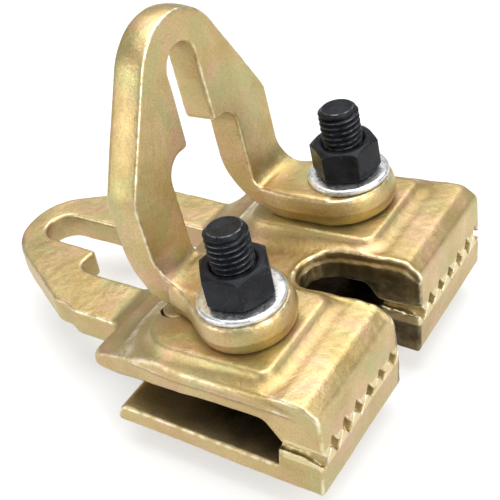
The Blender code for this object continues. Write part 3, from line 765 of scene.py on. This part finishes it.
def bolt_points(steps=96):
    """Shank rows from the dished end down: chamfer, thread, run-out and plain shank."""
    end = [(r, BOLT_TOP - 0.25 * ramp(np.array(r), 5.0, 2.5)) for r in (0.0, 2.0, 4.0, 5.2, 6.0)]
    threaded_rows = np.arange(BOLT_TOP - 0.12, THREAD_START - 2.0, -0.165)
    plain_rows = np.arange(THREAD_START - 2.2, HEAD_TOP - 2.0, -3.0)
    levels = np.concatenate([threaded_rows, plain_rows, [HEAD_TOP - 2.0]])
    angles = np.linspace(0.0, 2.0 * math.pi, steps, endpoint=False)
    rings = [ring(r, angles, z) for r, z in end[1:]]
    for w in levels:
        threaded = ramp(np.array(w), THREAD_START - 1.5, THREAD_START + 2.0)
        radius = BOLT_R - (BOLT_R - thread_radius(angles, w)) * threaded
        chamfer = BOLT_R - CHAMFER_START + (BOLT_TOP - w) * CHAMFER_SLOPE
        rings.append(ring(np.minimum(radius, chamfer), angles, w))
    return skin(rings, (end[0][1], levels[-1]))


def at_bolt(points, side):
    """World place, in mm, of points round one bolt's axis."""
    return seat_to_world(points + np.array([BOLT_U, SIDES[side] * BOLT_Y, 0.0]))


def hexagon_surface(field_of, low, high, *settings):
    """Points, quads and convexity of a hexagonal piece between two heights."""
    start = (-HEX_REACH, -HEX_REACH, low - HEX_MARGIN)
    grid = Grid(start, (HEX_REACH, HEX_REACH, high + HEX_MARGIN), HEX_STEP)
    field = field_of(grid, *settings) + np.zeros(grid.shape)
    points, quads = surface_cells(field, grid)
    points = settle(points, quads, field, grid, 2)
    return points, quads, convexity(points, field, grid, HEX_BEND_REACH)


def shank_wear_glint(shank):
    """How worn the shank's points are, and how strong their painted glint, 0 to 1: its thread crests and
    the rim of its end.
    """
    radius = np.hypot(shank[:, 0], shank[:, 1])
    crest = ramp(radius, BOLT_R - 0.3, BOLT_R) * ramp(shank[:, 2], THREAD_START, THREAD_START + 4.0)
    rim = ramp(shank[:, 2], BOLT_TOP - 0.45, BOLT_TOP - 0.1) * ramp(radius, 5.6, 6.3)
    return np.maximum(crest, rim)


def make_bolt(side):
    """Threaded shank and hexagon head as one object."""
    head, quads, bend = hexagon_surface(head_field, HEAD_TOP - HEAD_HEIGHT, HEAD_TOP)
    shank, faces = bolt_points()
    every = [tuple(q) for q in quads.tolist()] + [tuple(i + len(head) for i in f) for f in faces]
    item = new_piece(f"threaded_bolt_{side}", at_bolt(np.concatenate([head, shank]), side), every)
    paint(item, "bend", np.concatenate([bend, shank_wear_glint(shank)]))
    return item


def make_nut(side):
    """Chamfered hexagon nut."""
    points, quads, bend = hexagon_surface(nut_field, NUT_LOW, NUT_LOW + NUT_HEIGHT, NUT_TURN[side])
    item = new_piece(f"hex_nut_{side}", at_bolt(points, side), quads)
    paint(item, "bend", bend)
    return item


def make_washer(side):
    """Punched washer: rolled upper edge, slightly torn rim."""
    low, high = WASHER_LOW, WASHER_LOW + WASHER_THICK
    random = np.random.RandomState(31 if side == "left" else 32)
    phases = random.uniform(0.0, 2.0 * math.pi, 14)

    def wobble(angles, r):
        rough = sum(np.sin(angles * (5 + 4 * k) + phases[k]) / (2.0 + k) for k in range(14))
        return 0.03 * rough * (r > 16.0)

    profile = [(HOLE_R + 0.5, high), (12.5, high), (15.0, high - 0.02), (15.7, high - 0.14)]
    profile += [(16.2, high - 0.42), (WASHER_R - 0.02, high - 0.85), (WASHER_R, high - 1.4)]
    profile += [(WASHER_R - 0.03, low + 0.35), (WASHER_R - 0.3, low), (12.5, low)]
    profile += [(HOLE_R + 0.2, low), (HOLE_R, low + 0.2), (HOLE_R, high - 0.5)]
    points, faces = lathe(profile, 160, wobble)
    return new_piece(f"punched_washer_{side}", at_bolt(points, side), faces)


def make_pin(side):
    """Turned pin with a domed foot and a chamfered top."""
    rim = math.degrees(math.asin(PIN_R / PIN_DOME_R))
    dome = arc((0.0, PIN_FOOT + PIN_DOME_R), PIN_DOME_R, rim - 90.0, -90.0, 10)
    profile = [(0.0, PIN_TOP), (2.0, PIN_TOP), (4.6, PIN_TOP), (5.3, PIN_TOP - 0.05), (5.75, PIN_TOP - 0.4)]
    profile += [(PIN_R, PIN_TOP - 0.9), (PIN_R, 20.0), (PIN_R, 8.0)]
    profile += [(r, z) for r, z in dome[:-1]] + [(0.0, PIN_FOOT)]
    points, faces = lathe(profile, 64)
    points = points + np.array([PIN_U, SIDES[side] * BOLT_Y, 0.0])
    return new_piece(f"turned_pin_{side}", seat_to_world(points), faces)


# ---------------------------------------------------------------- materials


# Colours: gold of the zinc and its bloom, painted shade in hollows, wear with painted highlights, then
# painted shade, black oxide, silver and floor.
GOLD_DEEP, GOLD_PALE = (0.47, 0.35, 0.145), (0.62, 0.48, 0.245)
ROSE, OLIVE = (0.62, 0.40, 0.27), (0.45, 0.44, 0.20)
GRAIN_BROWN, HOLLOW_SHADE = (0.30, 0.19, 0.07), (0.20, 0.115, 0.035)
EDGE_WEAR_HIGHLIGHT, TEETH_HIGHLIGHT = (0.86, 0.80, 0.60), (0.80, 0.70, 0.38)
PAINTED_SHADE = (0.028, 0.017, 0.008)
BLACK_DEEP, BLACK_PALE = (0.004, 0.0045, 0.006), (0.011, 0.0125, 0.017)
BLACK_SPECKS, BLACK_WORN_GLINT = (0.12, 0.12, 0.12), (0.19, 0.19, 0.20)
SILVER_DEEP, SILVER_PALE, SILVER_NICKS = (0.50, 0.52, 0.53), (0.86, 0.87, 0.87), (0.24, 0.24, 0.25)
FLOOR_DEEP, FLOOR_PALE, FLOOR_GLOW = (0.42, 0.42, 0.42), (0.44, 0.44, 0.435), (1.0, 1.0, 0.99, 1.0)


class Nodes:
    """Small helper that adds and links shader nodes of one material."""

    def __init__(self, name):
        self.material = bpy.data.materials.new(name)
        self.material.use_nodes = True
        self.tree = self.material.node_tree
        self.shader = self.tree.nodes["Principled BSDF"]

    def add(self, kind, inputs=None, **settings):
        """New node with its settings, and its inputs as numbers or other nodes' outputs."""
        node = self.tree.nodes.new(kind)
        for key, value in settings.items():
            setattr(node, key, value)
        for key, value in (inputs or {}).items():
            self.feed(node.inputs[key], value)
        return node

    def feed(self, socket, value):
        """Set a socket to a number or colour, or link an output to it."""
        if isinstance(value, bpy.types.NodeSocket):
            self.tree.links.new(value, socket)
        elif isinstance(value, tuple) and len(value) == 3 and socket.type == "RGBA":
            socket.default_value = (*value, 1.0)
        else:
            socket.default_value = value

    def position(self):
        """Object coordinates in millimetres."""
        inputs = {0: self.add("ShaderNodeTexCoord").outputs["Object"], 1: (1000.0, 1000.0, 1000.0)}
        return self.add("ShaderNodeVectorMath", inputs, operation="MULTIPLY").outputs[0]

    def moved(self, vector, *shift):
        """The vector moved by shift, which gives each piece its own patch of a pattern."""
        return self.add("ShaderNodeVectorMath", {0: vector, 1: shift}).outputs[0]

    def noise(self, vector, size, detail=2.0, rough=0.5, distortion=0.0):
        """Noise with lumps of about size mm."""
        inputs = {"Vector": vector, "Scale": 1.0 / size, "Detail": detail, "Roughness": rough}
        inputs["Distortion"] = distortion
        return self.add("ShaderNodeTexNoise", inputs).outputs["Fac"]

    def math(self, operation, a, b):
        """One Math node."""
        return self.add("ShaderNodeMath", {0: a, 1: b}, operation=operation).outputs[0]

    def span(self, value, low, high, to_low=0.0, to_high=1.0):
        """Clamped linear map of a value."""
        names = ("Value", "From Min", "From Max", "To Min", "To Max")
        inputs = dict(zip(names, (value, low, high, to_low, to_high)))
        return self.add("ShaderNodeMapRange", inputs).outputs["Result"]

    def mix(self, factor, a, b):
        """Mix two colours."""
        node = self.add("ShaderNodeMix", data_type="RGBA")
        self.feed(node.inputs["Factor"], factor)
        self.feed(node.inputs[6], a)
        self.feed(node.inputs[7], b)
        return node.outputs[2]

    def attribute(self, name):
        """A number stored at each vertex."""
        return self.add("ShaderNodeAttribute", attribute_name=name).outputs["Fac"]

    def bump(self, height, strength, distance, normal=None):
        """Bump from a height in mm."""
        inputs = {"Height": height, "Strength": strength, "Distance": distance * MM}
        if normal is not None:
            inputs["Normal"] = normal
        return self.add("ShaderNodeBump", inputs).outputs["Normal"]


def yellow_zinc(name, seed):
    """Yellow chromate on a shot-blasted forging: gold with pink and green bloom; painted shade in hollows
    and painted highlights on worn edges and teeth.
    """
    n = Nodes(name)
    here = n.moved(n.position(), seed * 61.0, seed * 17.0, seed * 5.0)
    bend = n.attribute("bend")
    gold = n.mix(n.span(n.noise(here, 26.0, 3.0, 0.55), 0.35, 0.65), GOLD_DEEP, GOLD_PALE)
    rosy = n.span(n.noise(here, 17.0, 2.5, 0.5, 0.6), 0.50, 0.66)
    colour = n.mix(n.math("MULTIPLY", rosy, 0.75), gold, ROSE)
    green = n.span(n.noise(n.moved(here, 37.0, -23.0, 91.0), 21.0, 2.5, 0.5, 0.8), 0.50, 0.66)
    colour = n.mix(n.math("MULTIPLY", green, 0.75), colour, OLIVE)
    grain = n.noise(here, 0.75, 3.0, 0.65)
    colour = n.mix(n.span(grain, 0.34, 0.66, 0.0, 0.42), colour, GRAIN_BROWN)
    # Painted shade in the hollows, where the convexity is below 0.
    hollow_shade = n.span(bend, -0.03, -0.5, 0.0, 0.75)
    colour = n.mix(hollow_shade, colour, HOLLOW_SHADE)
    # Rubbed edges: wear, and a painted highlight on the convex edges.
    rubbed = n.span(n.noise(here, 3.2, 3.0), 0.35, 0.6)
    edge = n.math("MULTIPLY", n.span(bend, 0.18, 0.6), rubbed)
    colour = n.mix(n.math("MULTIPLY", edge, 0.75), colour, EDGE_WEAR_HIGHLIGHT)
    # Painted highlight on the tooth facets, where the mask is below 0.
    lit_teeth_zone = n.span(n.attribute("painted_light"), -0.2, -0.7)
    teeth = n.math("MULTIPLY", lit_teeth_zone, n.span(bend, 0.75, 0.1))
    colour = n.mix(n.math("MULTIPLY", teeth, 0.55), colour, TEETH_HIGHLIGHT)
    # Painted shade in the hollow between the jaws, under the upper jaw and in the notch, a little patchy.
    patchy = n.span(n.noise(here, 5.0, 3.0, 0.6), 0.25, 0.6, 0.72, 1.0)
    painted_light = n.math("MULTIPLY", n.attribute("painted_light"), patchy)
    colour = n.mix(n.math("MULTIPLY", painted_light, 0.93), colour, PAINTED_SHADE)
    n.feed(n.shader.inputs["Base Color"], colour)
    n.shader.inputs["Metallic"].default_value = 0.92
    rough = n.span(n.noise(here, 9.0, 3.0, 0.6), 0.3, 0.7, 0.33, 0.47)
    rough = n.math("SUBTRACT", rough, n.math("MULTIPLY", edge, 0.10))
    n.feed(n.shader.inputs["Roughness"], rough)
    pitted = n.bump(n.noise(here, 0.62, 3.0, 0.7), 0.8, 0.13)
    n.feed(n.shader.inputs["Normal"], n.bump(n.noise(here, 3.0, 2.5, 0.55), 0.6, 0.34, pitted))
    return n.material


def black_oxide(name, seed):
    """Black oxide over rolled steel: nearly black, faintly blue, with rubbed specks, and worn edges and
    thread crests with a painted glint.
    """
    n = Nodes(name)
    here = n.moved(n.position(), seed * 31.0, seed * 11.0, 0.0)
    tone = n.span(n.noise(here, 6.0, 3.0, 0.55), 0.35, 0.65)
    colour = n.mix(tone, BLACK_DEEP, BLACK_PALE)
    specks = n.span(n.noise(here, 0.8, 2.0, 0.7), 0.64, 0.74, 0.0, 0.45)
    colour = n.mix(specks, colour, BLACK_SPECKS)
    # Worn edges and thread crests: wear, and a painted glint.
    rubbed = n.span(n.noise(here, 2.2, 3.0), 0.42, 0.62)
    worn_glint = n.math("MULTIPLY", n.span(n.attribute("bend"), 0.45, 0.95), rubbed)
    colour = n.mix(n.math("MULTIPLY", worn_glint, 0.6), colour, BLACK_WORN_GLINT)
    n.feed(n.shader.inputs["Base Color"], colour)
    n.feed(n.shader.inputs["Metallic"], n.math("MULTIPLY", worn_glint, 0.8))
    n.shader.inputs["Specular IOR Level"].default_value = 0.16
    n.feed(n.shader.inputs["Roughness"], n.span(n.noise(here, 3.0, 3.0), 0.3, 0.7, 0.26, 0.42))
    n.feed(n.shader.inputs["Normal"], n.bump(n.noise(here, 0.6, 3.0, 0.6), 0.4, 0.06))
    return n.material


def bright_zinc(name, seed):
    """Bright zinc on a punched washer: silver, tumbled and nicked."""
    n = Nodes(name)
    here = n.moved(n.position(), seed * 13.0, 0.0, seed * 7.0)
    tone = n.span(n.noise(here, 4.0, 4.0, 0.65), 0.3, 0.7)
    colour = n.mix(tone, SILVER_DEEP, SILVER_PALE)
    nicks = n.span(n.noise(here, 1.1, 3.0, 0.7, 1.5), 0.60, 0.72, 0.0, 0.7)
    colour = n.mix(nicks, colour, SILVER_NICKS)
    n.feed(n.shader.inputs["Base Color"], colour)
    n.shader.inputs["Metallic"].default_value = 0.95
    n.feed(n.shader.inputs["Roughness"], n.span(n.noise(here, 1.6, 3.0, 0.6), 0.3, 0.7, 0.22, 0.46))
    n.feed(n.shader.inputs["Normal"], n.bump(n.noise(here, 1.0, 3.0, 0.6), 0.6, 0.10))
    return n.material


def floor_material():
    """Plain white light-table floor with a trace of unevenness."""
    n = Nodes("pale_floor")
    colour = n.mix(n.noise(n.position(), 400.0), FLOOR_DEEP, FLOOR_PALE)
    n.feed(n.shader.inputs["Base Color"], colour)
    n.shader.inputs["Roughness"].default_value = 0.9
    n.shader.inputs["Specular IOR Level"].default_value = 0.1
    n.shader.inputs["Emission Color"].default_value = FLOOR_GLOW
    n.shader.inputs["Emission Strength"].default_value = 0.52
    return n.material


# ---------------------------------------------------------------- assembly


def mount(item, body, node, material):
    """Put a piece on its body, in place of its CAD node, with its finish."""
    item.data.materials.append(material)
    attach(item, body)
    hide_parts(node)


def build_forgings():
    """The three forged pieces."""
    grid = Grid((-44.0, -72.0, -1.6), (52.4, 72.0, 21.6), FORGED_STEP)
    mount(
        mesh_field("forged_lower_jaw", lower_jaw_field(grid), grid, painted_light=lower_painted_light),
        "lower_jaw", "lower_jaw", yellow_zinc("gold_lower", 1.0),
    )
    grid = Grid((-141.6, -70.6, 6.6), (52.4, 70.6, 45.2), FORGED_STEP)
    mount(
        mesh_field("forged_upper_jaw", upper_jaw_field(grid), grid, painted_light=upper_painted_light),
        "upper_jaw", "upper_jaw", yellow_zinc("gold_upper", 2.0),
    )
    grid = Grid((-23.0, -61.4, 31.0), (49.0, 61.4, 133.0), FORGED_STEP)
    mount(
        mesh_field("forged_pull_arch", pull_arch_field(grid), grid, seated=True),
        "upper_jaw", "pull_arch", yellow_zinc("gold_arch", 3.0),
    )


def build_fasteners():
    """Bolts, nuts, washers and fulcrum pins of both sides."""
    steel = yellow_zinc("gold_pins", 4.0)
    for index, side in enumerate(SIDES):
        black = black_oxide(f"black_{side}", 1.0 + index)
        mount(make_bolt(side), f"bolt_{side}", f"bolt_{side}", black)
        mount(make_nut(side), f"nut_{side}", f"nut_{side}", black)
        silver = bright_zinc(f"silver_{side}", 1.0 + index)
        mount(make_washer(side), "upper_jaw", f"washer_{side}", silver)
        mount(make_pin(side), "upper_jaw", f"fulcrum_pin_{side}", steel)


def build_floor():
    """Pale floor under the bolt heads."""
    level = CAD_BOUNDS[0][2] / MM - FLOOR_GAP
    around = ((-1.0, -1.0), (1.0, -1.0), (1.0, 1.0), (-1.0, 1.0))
    points = [(FLOOR_HALF * a, FLOOR_HALF * b, level) for a, b in around]
    floor = new_piece("floor", points, [(0, 1, 2, 3)], smooth=False)
    floor.data.materials.append(floor_material())


def area_light(name, place, target, size, power):
    """Soft rectangular lamp aimed at a point, sizes in metres."""
    data = bpy.data.lights.new(name, "AREA")
    data.shape = "RECTANGLE"
    data.size, data.size_y = size
    data.energy = power
    lamp = bpy.data.objects.new(name, data)
    lamp.location = place
    lamp.rotation_euler = (Vector(place) - Vector(target)).to_track_quat("Z", "Y").to_euler()
    bpy.context.scene.collection.objects.link(lamp)


def build_lights():
    """White surround with a large soft top light, a weak side light and a broad front light."""
    world = bpy.data.worlds.new("studio")
    bpy.context.scene.world = world
    world.use_nodes = True
    background = world.node_tree.nodes["Background"]
    background.inputs["Color"].default_value = (1.0, 1.0, 1.0, 1.0)
    background.inputs["Strength"].default_value = 0.46
    target = (-0.03, 0.0, 0.03)
    area_light("top_light", (-0.08, 0.25, 1.0), target, (1.1, 1.1), 15.0)
    area_light("side_light", (-0.7, -0.9, 0.45), target, (0.7, 0.5), 4.0)
    area_light("front_light", (1.0, -0.2, 0.55), target, (0.9, 0.8), 10.0)


def build_camera():
    """Camera fitted to the photograph."""
    data = bpy.data.cameras.new("camera")
    data.lens = 75.318357
    data.sensor_width = 36.0
    data.clip_start, data.clip_end = 0.01, 20.0
    right = Vector((0.84450037, 0.51787826, -0.13645961))
    up = Vector((-0.22791063, 0.57809996, 0.78349038))
    place = (0.18373813, -0.26254360, 0.29063969)
    rotation = Matrix((right, up, right.cross(up))).transposed().to_4x4()
    camera = bpy.data.objects.new("camera", data)
    camera.matrix_world = Matrix.Translation(place) @ rotation
    bpy.context.scene.collection.objects.link(camera)
    bpy.context.scene.camera = camera


build_camera()
build_forgings()
build_fasteners()
build_floor()
build_lights()
bpy.context.scene.view_settings.view_transform = "Standard"
